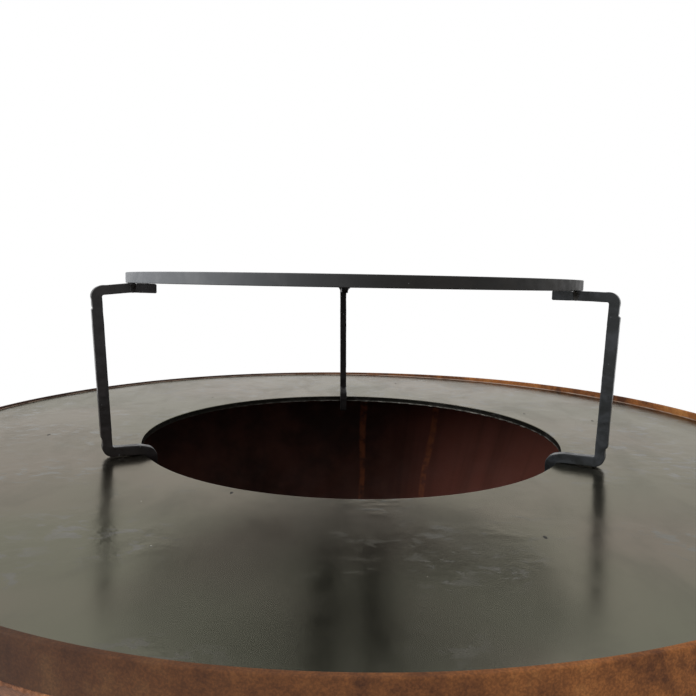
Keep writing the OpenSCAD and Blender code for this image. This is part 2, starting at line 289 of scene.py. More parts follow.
# %% Rusted outside
RUST_TONES = {
    "rusted_outside": (rgb(0.075, 0.034, 0.022), rgb(0.23, 0.095, 0.045), rgb(0.38, 0.165, 0.062), 0.5),
    "rusted_lip": (rgb(0.1, 0.036, 0.016), rgb(0.36, 0.13, 0.035), rgb(0.55, 0.24, 0.07), 0.25),
    "rusted_floor": (rgb(0.05, 0.022, 0.015), rgb(0.15, 0.06, 0.035), rgb(0.26, 0.11, 0.05), 0.1),
}
SHADED_LIP_RUST, PAINTED_HIGHLIGHT_RUST = rgb(0.022, 0.011, 0.008), rgb(0.5, 0.36, 0.28)
LIP_SHADE_FULL_X, LIP_SHADE_END_X = -0.25, 0.28
rusted = {}
for name, (dark, middle, bright, run_share) in RUST_TONES.items():
    rusted[name], tree, shader, where = new_material(name, Specular_IOR_Level=0.3)
    coat = placed(tree, rust, Vector=where, Dark=dark, Middle=middle, Bright=bright, Runs=run_share)
    edge = placed(tree, worn_edge, Vector=where, Radius=0.002)["Mask"]
    skin = mixed(tree, calc(tree, "MULTIPLY", edge, 0.55), coat["Color"], dark)
    if name == "rusted_lip":
        spot = add(tree, "ShaderNodeSeparateXYZ", {0: where}).outputs
        # Painted shade: the lip is painted nearly black on its left side, fading out towards the middle.
        painted_shade_left = between(tree, spot[0], LIP_SHADE_FULL_X, LIP_SHADE_END_X, 0.93, 0.0)
        skin = mixed(tree, painted_shade_left, skin, SHADED_LIP_RUST)
        # Painted highlight: a thin pale line on the lip's inner face, at the height of the plate's rim.
        inside = between(tree, far_out(tree, where), LIP_IN + 1.5 * MM, LIP_IN + 3 * MM, 1.0, 0.0)
        painted_highlight_line = between(tree, spot[2], COOK_Z + 0.6 * MM, COOK_Z + 1.2 * MM, 1.0, 0.0)
        painted_highlight_line = calc(tree, "MULTIPLY", painted_highlight_line, between(tree, spot[2], PLATE_LOW - 1 * MM, PLATE_LOW))
        painted_highlight_line = calc(tree, "MULTIPLY", painted_highlight_line, inside)
        painted_highlight_line = calc(tree, "MULTIPLY", painted_highlight_line, between(tree, cloud(tree, where, 30, 3), 0.35, 0.55, 0.3, 1))
        skin = mixed(tree, painted_highlight_line, skin, PAINTED_HIGHLIGHT_RUST)
    tree.links.new(skin, shader["Base Color"])
    tree.links.new(coat["Roughness"], shader["Roughness"])
    raised(tree, coat["Height"], shader)
print("rust materials:", list(rusted))

# %% [markdown]
# ## Inside of the bowl
# The inside has seen fires. Soot has dulled the rust to a dark red-brown, and rain that ran in over the lip has drawn
# brighter lines straight down the cone. The photograph shows two of them clearly, so those two are placed by their
# angle round the bowl, and noise in polar coordinates adds the fainter ones. Between two angles at the back right, the
# wall is painted paler and redder as painted light, where the window's light falls on it.

# %% Sooty rust
SOOT, SOOTY_RUST, FRESH_RUN = rgb(0.05, 0.026, 0.02), rgb(0.13, 0.055, 0.04), rgb(0.42, 0.14, 0.06)
LIT_RED_RUST, LIT_BAND_FROM, LIT_BAND_TO = rgb(0.26, 0.085, 0.06), math.radians(88), math.radians(62)
RUN_ANGLES = {math.radians(69.2): 0.007, math.radians(86.5): 0.007}

bowl_inside, tree, shader, where = new_material("bowl_inside", Specular_IOR_Level=0.2)
faint = placed(tree, runs, Vector=where, Across=14, Along=1.2)
wall = mixed(tree, between(tree, cloud(tree, where, 9, 4, 0.6), 0.35, 0.65), SOOT, SOOTY_RUST)
# Painted light: the wall between these angles is paler and redder where the window's light falls on it.
painted_light_band = calc(tree, "MULTIPLY", between(tree, faint["Angle"], LIT_BAND_TO, LIT_BAND_FROM, 1, 0), 0.75)
wall = mixed(tree, painted_light_band, wall, LIT_RED_RUST)
wall = mixed(tree, between(tree, faint["Mask"], 0.45, 0.75, 0, 0.35), wall, SOOT)
wander = calc(tree, "MULTIPLY", calc(tree, "SUBTRACT", cloud(tree, where, 9), 0.5), 0.03)
for run_angle, half_width in RUN_ANGLES.items():
    off = calc(tree, "ABSOLUTE", calc(tree, "ADD", calc(tree, "SUBTRACT", faint["Angle"], run_angle), wander))
    line = between(tree, off, half_width, half_width * 2.6, 0.75, 0.0)
    broken = calc(tree, "MULTIPLY", line, between(tree, cloud(tree, where, 60, 4), 0.3, 0.6))
    wall = mixed(tree, broken, wall, FRESH_RUN)
tree.links.new(wall, shader["Base Color"])
tree.links.new(between(tree, cloud(tree, where, 30, 3), 0.3, 0.7, 0.6, 0.85), shader["Roughness"])
raised(tree, calc(tree, "MULTIPLY", cloud(tree, where, 260, 4), 0.0002), shader)
print("fresh runs at", [round(math.degrees(a), 1) for a in RUN_ANGLES], "degrees")

# %% [markdown]
# ## Oiled cooking plate
# The plate is hot-rolled steel that has been oiled and wiped. At a flat angle it mirrors the room almost like
# water, and from above it is a dark grey. A dark metal does exactly that by itself, because reflection grows
# towards grazing. The film of oil takes some of that growth away, and more of the blue than of the red, which the
# specular tint says. What makes it look like steel is that the mirror isn't perfect: dents from rolling break
# reflections up, wiped oil changes the gloss in patches, and pits and grains of dust are scattered on it.

# %% Plate material
OLIVE, MAUVE, PLATE_SHADE = rgb(0.135, 0.135, 0.102), rgb(0.165, 0.143, 0.118), rgb(0.1, 0.097, 0.078)
CUT_SCALE, CUT_LINES, DROSS = rgb(0.004, 0.004, 0.004), rgb(0.018, 0.017, 0.014), rgb(0.3, 0.29, 0.26)
OIL_TINT, RUBBED_STEEL, DARK_MARK_TONE = rgb(0.77, 0.745, 0.7), rgb(0.6, 0.59, 0.55), rgb(0.095, 0.091, 0.074)

plate_steel, tree, shader, where = new_material("plate_steel", Specular_Tint=OIL_TINT)
tint = mixed(tree, between(tree, cloud(tree, where, 4, 2), 0.35, 0.65), OLIVE, MAUVE)
wiped = cloud(tree, stretched(tree, where, 1, 0.55, 1), 16, 5, 0.6, 0.6)
tint = mixed(tree, between(tree, wiped, 0.45, 0.75, 0, 0.5), tint, PLATE_SHADE)
pits = placed(tree, specks, Vector=stretched(tree, where, 1, 0.5, 1), Scale=36, Share=0.2, Size=0.04)["Mask"]
dust = placed(tree, specks, Vector=stretched(tree, where, 1.13, 1.07, 1), Scale=75, Share=0.05, Size=0.03)["Mask"]
dented = between(tree, cloud(tree, where, 11, 3), 0.44, 0.62)
parts = add(tree, "ShaderNodeSeparateXYZ", {0: where}).outputs
# Darker, duller marks in the dented patches, with more of them towards the back of the plate.
dark_mark_area = calc(tree, "MAXIMUM", dented, between(tree, parts[1], 0.12, 0.3, 0, 0.8))
dark_marks = between(tree, cloud(tree, stretched(tree, where, 0.8, 1.2, 1), 62, 4, 0.62, 0.6), 0.535, 0.6)
dark_marks = calc(tree, "MULTIPLY", dark_marks, dark_mark_area)
tint = mixed(tree, dark_marks, tint, DARK_MARK_TONE)
surface = mixed(tree, pits, tint, rgb(0.012, 0.011, 0.01))
surface = mixed(tree, dust, surface, rgb(0.34, 0.33, 0.3))
rim = placed(tree, worn_edge, Vector=where, Radius=0.0015)["Mask"]
surface = mixed(tree, calc(tree, "MULTIPLY", rim, 0.7), surface, RUBBED_STEEL)

facing = add(tree, "ShaderNodeSeparateXYZ", {0: add(tree, "ShaderNodeNewGeometry").outputs["True Normal"]}).outputs[2]
on_side = between(tree, calc(tree, "ABSOLUTE", facing), 0.2, 0.5, 1, 0)
drag_lines = placed(tree, runs, Vector=where, Across=420, Along=20)["Mask"]
near_foot = between(tree, parts[2], PLATE_LOW + 1.2 * MM, PLATE_LOW + 2.4 * MM, 1, 0)
lumpy = calc(tree, "MULTIPLY", near_foot, between(tree, cloud(tree, where, 110, 5, 0.6), 0.4, 0.62, 0.2, 1))
lumpy = calc(tree, "MULTIPLY", lumpy, between(tree, parts[0], -HOLE_R, 0.2 * HOLE_R, 0.1, 1))
low_half = between(tree, parts[2], PLATE_LOW + 2.5 * MM, PLATE_LOW + 5.5 * MM, 0.8, 0)
cut_face = mixed(tree, low_half, mixed(tree, drag_lines, CUT_SCALE, CUT_LINES), CUT_LINES)
cut_face = mixed(tree, lumpy, cut_face, DROSS)
tree.links.new(mixed(tree, on_side, surface, cut_face), shader["Base Color"])

gloss = between(tree, wiped, 0.3, 0.7, 0.18, 0.27)
gloss = calc(tree, "ADD", gloss, calc(tree, "MULTIPLY", calc(tree, "ADD", pits, dust), 0.4))
gloss = calc(tree, "MAXIMUM", gloss, calc(tree, "MULTIPLY", on_side, 0.5))
tree.links.new(gloss, shader["Roughness"])
dulled = calc(tree, "MAXIMUM", calc(tree, "MAXIMUM", dust, pits), calc(tree, "MULTIPLY", dark_marks, 0.75))
tree.links.new(calc(tree, "SUBTRACT", 1, calc(tree, "MULTIPLY", dulled, 0.8)), shader["Metallic"])

ripples = calc(tree, "MULTIPLY", cloud(tree, where, 60, 2, 0.4), 0.00006)
dents = calc(tree, "MULTIPLY", calc(tree, "MULTIPLY", cloud(tree, where, 90, 3), dented), 0.0003)
relief = calc(tree, "ADD", ripples, calc(tree, "ADD", dents, calc(tree, "MULTIPLY", pits, -0.00015)))
relief = calc(tree, "ADD", relief, calc(tree, "MULTIPLY", calc(tree, "MULTIPLY", on_side, drag_lines), 0.0004))
raised(tree, relief, shader)
print("plate material ready")

# %% [markdown]
# ## Forged bar, mill scale and zinc
# The legs were heated, bent and hammered. Heat leaves a blue-grey skin of scale that flakes off in spots and is
# rubbed bright along the edges. The hoop and the rings are bent cold, so their mill scale is smoother and shinier.
# All of these are one recipe: a dark skin, a paler flake, bright wear on the edges and a fine relief. The legs' skin is
# painted darker on the left as painted shade. The hoop's skin is painted pale on the left as painted light and nearly
# black on the right as painted shade.


# %% Scaled steel recipe
def scaled_steel(name, skin, flake, flecking, gloss, relief_size, wear, shine=0.3, left_skin_painted_light=None, painted_light_sides=()):
    """Dark steel under a skin of scale, with paler flakes, bright flecks and worn edges. The skin may take another
    colour on the left, as painted light and shade, and painted_light_sides says where one turns into the other."""
    material, tree, shader, where = new_material(name, Specular_IOR_Level=shine)
    patches = between(tree, cloud(tree, where, 38, 5, 0.6, 0.5), 0.45, 0.66)
    if left_skin_painted_light:
        across = add(tree, "ShaderNodeSeparateXYZ", {0: where}).outputs[0]
        skin, flake = (mixed(tree, between(tree, across, *painted_light_sides), *pair) for pair in zip(left_skin_painted_light, (skin, flake)))
    flecks = placed(tree, specks, Vector=where, Scale=210, Share=flecking[0], Size=flecking[1])["Mask"]
    edge = calc(tree, "MULTIPLY", placed(tree, worn_edge, Vector=where, Radius=0.0015)["Mask"], wear)
    tone = mixed(tree, patches, skin, flake)
    tone = mixed(tree, calc(tree, "MULTIPLY", flecks, 0.7), tone, rgb(0.2, 0.21, 0.22))
    tone = mixed(tree, edge, tone, rgb(0.14, 0.14, 0.145))
    tree.links.new(tone, shader["Base Color"])
    tree.links.new(between(tree, cloud(tree, where, 90, 3), 0.3, 0.7, *gloss), shader["Roughness"])
    tree.links.new(between(tree, edge, 0, 1, 0.0, 0.7), shader["Metallic"])
    skin_relief = calc(tree, "MULTIPLY", cloud(tree, where, 420, 4, 0.6), relief_size)
    hammered = calc(tree, "MULTIPLY", cloud(tree, where, 110, 2), relief_size * 2)
    raised(tree, calc(tree, "ADD", skin_relief, hammered), shader)
    return material


# Painted shade: forged steel left of the middle, the left leg and pads, is painted nearly black; to the right it keeps
# the blue-grey skin.
SHADED_LEFT_SCALE, SHADED_LEFT_FLAKE = rgb(0.008, 0.006, 0.006), rgb(0.018, 0.014, 0.014)
BLUE_SCALE, BLUE_FLAKE = rgb(0.016, 0.018, 0.019), rgb(0.04, 0.044, 0.05)
forged_steel = scaled_steel("forged_steel", BLUE_SCALE, BLUE_FLAKE, (0.09, 0.09), (0.24, 0.44), 0.00012, 0.4, 0.28,
                            (SHADED_LEFT_SCALE, SHADED_LEFT_FLAKE), (-0.1, 0.12))
sooty_steel = scaled_steel("sooty_steel", rgb(0.005, 0.004, 0.004), rgb(0.012, 0.01, 0.01), (0.08, 0.1),
                           (0.3, 0.5), 0.0001, 0.3, 0.12)
rolled_steel = scaled_steel("rolled_steel", rgb(0.03, 0.028, 0.027), rgb(0.045, 0.043, 0.042), (0.04, 0.05),
                            (0.36, 0.5), 0.00003, 0.3)
# Painted light and shade: the hoop's skin is pale on its left, where the window's light falls, and nearly black on its
# right.
LIT_LEFT_SCALE, LIT_LEFT_FLAKE = rgb(0.14, 0.148, 0.158), rgb(0.17, 0.178, 0.188)
hoop_steel = scaled_steel("hoop_steel", rgb(0.008, 0.007, 0.006), rgb(0.015, 0.013, 0.011), (0.03, 0.05),
                          (0.42, 0.55), 0.00003, 0.3, 0.22, (LIT_LEFT_SCALE, LIT_LEFT_FLAKE), (-0.24, 0.06))
weld_steel = scaled_steel("weld_steel", rgb(0.015, 0.014, 0.014), rgb(0.05, 0.048, 0.046), (0.2, 0.1),
                          (0.3, 0.45), 0.00008, 0.3)
print("scaled steels:", forged_steel.name, rolled_steel.name, weld_steel.name)

# %% Zinc plate
zinc, tree, shader, where = new_material("zinc_plate", Metallic=0.9)
spangle = add(tree, "ShaderNodeTexVoronoi", {"Vector": where, "Scale": 320}).outputs["Color"]
bloom = between(tree, cloud(tree, where, 120, 4), 0.45, 0.7, 0, 0.7)
plated = mixed(tree, 0.12, rgb(0.4, 0.4, 0.39), spangle)
tree.links.new(mixed(tree, bloom, plated, rgb(0.28, 0.22, 0.17)), shader["Base Color"])
tree.links.new(between(tree, bloom, 0, 0.7, 0.38, 0.75), shader["Roughness"])
raised(tree, calc(tree, "MULTIPLY", bloom, 0.00004), shader)
print("zinc ready")

# %% [markdown]
# ## Turned rings
# The plate, lip, cone, hoop and pedestal are all turned shapes: one outline swung round the z axis. The solids
# have knife-sharp corners or plain bevels. A real corner is slightly round and catches a thin line of light, so
# each outline gets rounded corners, and a support point beside each keeps the smooth shading off the flat faces.


# %% Rounded outlines
def rounded(corners, radius, steps=4, support=0.25 * MM):
    """A closed outline whose corners are arcs, with a support point on either side of each arc."""
    outline = []
    for i, corner in enumerate(corners):
        here, back, ahead = (np.array(corners[k % len(corners)], float) for k in (i, i - 1, i + 1))
        to_back, to_ahead = (d / np.linalg.norm(d) for d in (back - here, ahead - here))
        half = math.acos(np.clip(to_back @ to_ahead, -1, 1)) / 2
        set_back = radius / math.tan(half)
        middle = (to_back + to_ahead) / np.linalg.norm(to_back + to_ahead)
        centre = here + middle * radius / math.sin(half)
        first, last = here + to_back * set_back - centre, here + to_ahead * set_back - centre
        start = math.atan2(first[1], first[0])
        sweep = (math.atan2(last[1], last[0]) - start + math.pi) % (2 * math.pi) - math.pi
        turns = start + sweep * np.linspace(0, 1, steps + 1)
        outline.append(here + to_back * (set_back + support))
        outline.extend(centre + radius * np.array([math.cos(t), math.sin(t)]) for t in turns)
        outline.append(here + to_ahead * (set_back + support))
    return np.array(outline)


def divided(outline, longest):
    """The same closed outline, with its long sides cut into steps no longer than this."""
    points = []
    for here, ahead in zip(outline, np.roll(outline, -1, axis=0)):
        count = max(1, math.ceil(np.linalg.norm(ahead - here) / longest))
        points.extend(here + (ahead - here) * k / count for k in range(count))
    return np.array(points)


# %% Mesh and turning helpers
def new_piece(name, vertices, faces, *materials, sharp=50):
    """A mesh object at the origin, smooth but for corners sharper than this many degrees."""
    mesh = bpy.data.meshes.new(name)
    mesh.from_pydata([tuple(v) for v in vertices], [], faces)
    shape = bmesh.new()
    shape.from_mesh(mesh)
    bmesh.ops.remove_doubles(shape, verts=shape.verts, dist=1e-7)
    bmesh.ops.recalc_face_normals(shape, faces=shape.faces)
    shape.to_mesh(mesh)
    shape.free()
    mesh.shade_smooth()
    mesh.set_sharp_from_angle(angle=math.radians(sharp))
    for material in materials:
        mesh.materials.append(material)
    piece = bpy.data.objects.new(name, mesh)
    scene.collection.objects.link(piece)
    return piece


def turned(name, outline, steps, *materials, shift=None):
    """A ring swung round the z axis from a closed (radius, height) outline that runs anticlockwise."""
    angles = np.linspace(0, 2 * math.pi, steps, endpoint=False)[:, None]
    rings = np.repeat(outline[None], steps, axis=0)
    if shift is not None:
        rings = rings + shift(angles, outline[None])
    points = np.stack([rings[..., 0] * np.cos(angles), rings[..., 0] * np.sin(angles), rings[..., 1]], axis=-1)
    count = len(outline)
    faces = []
    for i in range(steps):
        here, ahead = i * count, (i + 1) % steps * count
        faces.extend((here + j, ahead + j, ahead + (j + 1) % count, here + (j + 1) % count) for j in range(count))
    return new_piece(name, points.reshape(-1, 3), faces, *materials)


def settle(piece, body, slot, *nodes):
    """Puts a piece on its body and lets it stand for its CAD nodes. The slot is not used."""
    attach(piece, body)
    if nodes:
        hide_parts(*nodes)
    print(f"{piece.name}: {len(piece.data.polygons)} faces, rides on {body}")


def wavy(angles, seed, *terms):
    """A sum of slow waves round a ring: each term is (waves per turn, height in metres)."""
    phases = np.random.default_rng(seed).uniform(0, 2 * math.pi, len(terms))
    return sum(height * np.sin(waves * angles + phase) for (waves, height), phase in zip(terms, phases))


# %% [markdown]
# ### The cooking plate
# Its hole was cut by flame. The cut leaves a row of small lumps of dross under the lower edge, which shows in the
# photograph as a thin broken line of light along the far wall of the hole. The lumps are moved out of the mesh.

# %% Cooking plate
PLATE_EDGE = 0.9 * MM
THICK_SIDE = math.radians(50)
corners = [(HOLE_R, PLATE_LOW), (PLATE_R, PLATE_LOW), (PLATE_R, COOK_Z), (HOLE_R, COOK_Z)]
outline = divided(rounded(corners, PLATE_EDGE), 30 * MM)


def dross(angles, outline):
    """Small lumps along the lower edge of the hole."""
    wave = wavy(angles, 3, (61, 0.5), (97, 0.4), (173, 0.35), (290, 0.3))
    lump = np.clip(wave, 0, 1) * 0.5 * MM
    low_edge = (outline[..., 0] < HOLE_R + 1.2 * MM) & (outline[..., 1] < PLATE_LOW + 1.3 * MM)
    hang = np.clip(wave + 0.4, 0, 1.2) * (0.35 + 0.65 * np.clip(np.cos(angles - THICK_SIDE), 0, 1)) * 0.6 * MM
    return np.stack([-lump * low_edge, -hang * low_edge], axis=-1)


cooking_plate = turned("cooking_plate_oiled", outline, 720, plate_steel, shift=dross)
settle(cooking_plate, "cooking_plate", "plate_steel", "cooking_plate")

# %% [markdown]
# ### Lip and cone
# The lip is a flat bar rolled on edge, so it is never perfectly round, and its corners are softened by rust. The
# cone is rolled from sheet. Its butt seam runs straight down the back, and a bead joins it to the lip. Both walls
# of the cone are one mesh, with the sooty material on the faces that look inwards.

# %% Lip band
corners = [(LIP_IN, LIP_LOW), (LIP_R, LIP_LOW), (LIP_R, LIP_TOP), (LIP_IN, LIP_TOP)]
LOW_SIDE, LOW_BY = math.radians(150), 2.2 * MM
HIGH_SIDE, HIGH_BY = math.radians(20), 4.5 * MM


def rolled_by_hand(angles, outline):
    """Slow waves that a rolled bar keeps, in radius only at the top, which stands higher on its right side."""
    high = np.clip((outline[..., 1] - LIP_LOW) / (LIP_TOP - LIP_LOW), 0, 1)
    out = wavy(angles, 7, (5, 0.25 * MM), (9, 0.18 * MM), (23, 0.06 * MM)) - 0.4 * MM
    raised_by = np.clip(np.cos(angles - HIGH_SIDE), 0, 1) ** 2 * HIGH_BY
    sunk_by = (0.5 + 0.5 * np.cos(angles - LOW_SIDE)) * LOW_BY
    return np.stack([out * high, (raised_by - sunk_by) * high], axis=-1)


lip = turned("lip_band_rusted", rounded(corners, 1.2 * MM), 540, rusted["rusted_lip"], shift=rolled_by_hand)
settle(lip, "fire_bowl", "weathering_steel", "lip_band")

# %% Cone
FLOOR_R = ring_size("bowl_floor")[1]
CONE_LOW = ring_size("bowl_cone")[2]
SLOPE = math.atan2(LIP_LOW - CONE_LOW, LIP_R - FLOOR_R)
WALL_ACROSS = FLOOR_R - ring_size("bowl_cone")[0]
corners = [(FLOOR_R - WALL_ACROSS, CONE_LOW), (FLOOR_R, CONE_LOW), (LIP_R, LIP_LOW), (LIP_R - WALL_ACROSS, LIP_LOW)]
outline = divided(rounded(corners, 0.6 * MM, steps=2), 14 * MM)
SEAM_ANGLE = math.radians(95)


def rolled_sheet(angles, outline):
    """Shallow flats from rolling, and the welded seam as a low bead on both walls."""
    off_seam = np.abs((angles - SEAM_ANGLE + math.pi) % (2 * math.pi) - math.pi) * outline[..., 0]
    bead = np.clip(1 - (off_seam / (3.5 * MM)) ** 2, 0, 1) * 0.9 * MM
    wall_middle = FLOOR_R - WALL_ACROSS / 2 + (outline[..., 1] - CONE_LOW) / math.tan(SLOPE)
    outward = np.sign(outline[..., 0] - wall_middle)
    inside_only = np.where(outward < 0, 1, 0.8)
    flats = wavy(angles, 11, (37, 0.12 * MM), (53, 0.08 * MM)) - 0.2 * MM
    ends = np.clip((outline[..., 1] - CONE_LOW) / 0.05, 0, 1) * np.clip((LIP_LOW - outline[..., 1]) / 0.05, 0, 1)
    return np.stack([flats * ends + outward * bead * inside_only * ends, 0 * flats * ends], axis=-1)


cone = turned("bowl_cone_rusted", outline, 720, rusted["rusted_outside"], bowl_inside, shift=rolled_sheet)
for face in cone.data.polygons:
    inwards = face.normal.x * face.center.x + face.normal.y * face.center.y < 0
    face.material_index = 1 if inwards else 0
settle(cone, "fire_bowl", "weathering_steel", "bowl_cone")

# %% [markdown]
# ### Pedestal
# A rolled tube stands on a flat base ring. The same turning makes both, with softened corners.

# %% Pedestal shell and base ring
SHELL_IN, SHELL_R, SHELL_LOW, SHELL_TOP = ring_size("pedestal_shell")
BASE_IN, BASE_R, BASE_LOW, BASE_TOP = ring_size("pedestal_base")
corners = [(SHELL_IN, SHELL_LOW), (SHELL_R, SHELL_LOW), (SHELL_R, SHELL_TOP), (SHELL_IN, SHELL_TOP)]
shell = turned("pedestal_shell_rusted", divided(rounded(corners, 0.5 * MM, 2), 30 * MM), 360, rusted["rusted_outside"])
settle(shell, "fire_bowl", "weathering_steel", "pedestal_shell")

corners = [(BASE_IN, BASE_LOW), (BASE_R, BASE_LOW), (BASE_R, BASE_TOP), (BASE_IN, BASE_TOP)]
base = turned("pedestal_base_rusted", divided(rounded(corners, 1.2 * MM), 20 * MM), 360, rusted["rusted_outside"])
settle(base, "fire_bowl", "weathering_steel", "pedestal_base")

# %% [markdown]
# ### The hoop
# The hoop is the band that the photograph shows edge on: flat bar, rolled on edge and closed with a weld.

# %% Hoop
corners = [(HOOP_IN, HOOP_LOW), (HOOP_R, HOOP_LOW), (HOOP_R, GRATE_Z), (HOOP_IN, GRATE_Z)]
hoop = turned("grate_hoop_scaled", rounded(corners, 0.8 * MM), 540, hoop_steel)
settle(hoop, "grate_stand", "forged_steel", "grate_hoop")

# %% [markdown]
# ## Welds round the bowl
# The bowl and pedestal are welded up from sheet. Each joint has a bead of overlapping scales, like a row of coins
# pushed over. A bead is a small round outline swung along the joint whose size pulses once for every scale.


# %% Weld rings
def weld_ring(name, radius, height, size, scale_length, body, slot, seed):
    """A bead round a joint at a radius and height, with scales of this length."""
    turns = np.linspace(0, 2 * math.pi, 10, endpoint=False)
    circle = np.stack([np.cos(turns), np.sin(turns)], axis=-1)
    scales = round(2 * math.pi * radius / scale_length)
    steps = scales * 4
    uneven = np.random.default_rng(seed).uniform(-0.12, 0.12, scales)

    def pulse(angles, outline):
        which = np.floor(angles / (2 * math.pi) * scales).astype(int) % scales
        along = angles / (2 * math.pi) * scales % 1
        swell = 1 + 0.22 * np.sin(math.pi * along) + uneven[which]
        return (swell[..., None] - 1) * (outline - np.array([radius, height]))

    outline = np.array([radius, height]) + circle * size
    bead = turned(name, outline, steps, weld_steel if slot == "forged_steel" else rusted["rusted_outside"], shift=pulse)
    settle(bead, body, slot)


FLANGE_LOW = ring_size("pedestal_flange")[2]
weld_ring("weld_lip_to_cone", LIP_R - 2.9 * MM, LIP_LOW - 1.5 * MM, 2.2 * MM, 5 * MM, "fire_bowl", "weathering_steel", 21)
weld_ring("weld_cone_to_floor", FLOOR_R, CONE_LOW, 2.2 * MM, 5 * MM, "fire_bowl", "weathering_steel", 22)
weld_ring("weld_shell_to_flange", SHELL_R - 0.5 * MM, FLANGE_LOW, 2.0 * MM, 5 * MM, "fire_bowl", "weathering_steel", 23)
weld_ring("weld_shell_to_base", SHELL_R + 0.8 * MM, BASE_TOP + 0.8 * MM, 2.4 * MM, 5 * MM, "fire_bowl", "weathering_steel", 24)

# %% [markdown]
# ## Growing what repeats
# Bolts, pads and the grate's rings are one thing many times over, placed by a rule. Geometry Nodes hold such a rule well. The
# tree's inputs carry the sizes, so the same tree serves several rings. The result is taken off as a plain mesh.


# %% Geometry Nodes helpers
def new_tree(name, inputs):
    """An empty geometry tree with named inputs, its input sockets, and a function that closes it."""
    tree = bpy.data.node_groups.new(name, "GeometryNodeTree")
    kinds = {"whole": "NodeSocketInt", "value": "NodeSocketFloat", "object": "NodeSocketObject", "material": "NodeSocketMaterial"}
    for label, kind in inputs:
        tree.interface.new_socket(label, in_out="INPUT", socket_type=kinds[kind])
    tree.interface.new_socket("Geometry", in_out="OUTPUT", socket_type="NodeSocketGeometry")
    given = tree.nodes.new("NodeGroupInput").outputs

    def close(geometry):
        real = add(tree, "GeometryNodeRealizeInstances", {"Geometry": geometry}).outputs[0]
        painted = add(tree, "GeometryNodeSetMaterial", {"Geometry": real, "Material": given["Material"]}).outputs[0]
        tree.links.new(painted, tree.nodes.new("NodeGroupOutput").inputs[0])

    return tree, given, close


def grown(name, tree, **values):
    """Runs a geometry tree with these inputs and keeps the result as a plain mesh object."""
    piece = bpy.data.objects.new(name, bpy.data.meshes.new(name))
    scene.collection.objects.link(piece)
    modifier = piece.modifiers.new("grow", "NODES")
    modifier.node_group = tree
    for item in tree.interface.items_tree:
        key = item.name.replace(" ", "_").lower()
        if item.item_type == "SOCKET" and item.in_out == "INPUT" and key in values:
            modifier[item.identifier] = values[key]
    graph = bpy.context.evaluated_depsgraph_get()
    mesh = bpy.data.meshes.new_from_object(piece.evaluated_get(graph))
    piece.modifiers.clear()
    piece.data = mesh
    return piece


# %% Tree that sets an item round a ring
ring_tree, given, close = new_tree(
    "ring of items",
    [("Count", "whole"), ("Radius", "value"), ("Height", "value"), ("First Angle", "value"), ("Item", "object"), ("Material", "material")],
)
corner_points = add(ring_tree, "GeometryNodeMeshCircle", {"Vertices": given["Count"], "Radius": given["Radius"]}).outputs[0]
index = add(ring_tree, "GeometryNodeInputIndex").outputs[0]
turn = calc(ring_tree, "MULTIPLY", calc(ring_tree, "DIVIDE", index, given["Count"]), 2 * math.pi)
facing_out = add(ring_tree, "ShaderNodeCombineXYZ", {2: turn}).outputs[0]
item = add(ring_tree, "GeometryNodeObjectInfo", {"Object": given["Item"]}).outputs["Geometry"]
copies = add(ring_tree, "GeometryNodeInstanceOnPoints", {"Points": corner_points, "Instance": item, "Rotation": facing_out})
lift = add(ring_tree, "ShaderNodeCombineXYZ", {2: given["Height"]}).outputs[0]
swing = add(ring_tree, "ShaderNodeCombineXYZ", {2: given["First Angle"]}).outputs[0]
moved = {"Geometry": copies.outputs[0], "Translation": lift, "Rotation": swing}
close(add(ring_tree, "GeometryNodeTransform", moved).outputs[0])
print("ring tree:", len(ring_tree.nodes), "nodes")

# %% [markdown]
# ### Bolts, washers, nuts and pads
# Six bolts hold the bowl on its pedestal. All the small round pieces are turned like the rings, and a hexagon is
# a turning too: its radius grows from the flats to the corners. The corners of a real bolt head are cut by a
# cone, so the rim sinks where the radius grows. One of each is made, and the ring tree copies it round.


# %% Hexagon rule
CORNER_CUT = math.tan(math.radians(30))


def hexagonal(*rows):
    """A shift that turns these outline rows into a hexagon, where a second value of 1 sinks the corners."""

    def shift(angles, outline):
        moved = np.zeros((len(angles), outline.shape[1], 2))
        grow = 1 / np.cos(angles[:, 0] % (math.pi / 3) - math.pi / 6) - 1
        for row, cut in rows:
            moved[:, row, 0] = outline[0, row, 0] * grow
            moved[:, row, 1] = -cut * outline[0, row, 0] * grow * CORNER_CUT
        return moved

    return shift


# %% Sizes of the fasteners
BOLT_COUNT = 6
BOLT_R = 5 * MM
HEX_HALF = 8.5 * MM
HEAD_H = 6.4 * MM
WASHER_T = 2 * MM
WASHER_R = 12 * MM
THREAD_PITCH = 1.5 * MM
THREAD_DEPTH = 0.8 * MM
BOLT_LOW, BOLT_HIGH = (corner.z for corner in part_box("floor_bolts"))
NUT_LOW, NUT_HIGH = (corner.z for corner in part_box("floor_nuts"))
WASHER_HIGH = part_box("floor_washers")[1].z
BOLT_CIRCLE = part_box("floor_bolts")[1].x - HEX_HALF / math.cos(math.pi / 6)
print(f"bolt circle {BOLT_CIRCLE:.4f}, bolts from {BOLT_LOW:.4f} to {BOLT_HIGH:.4f}")

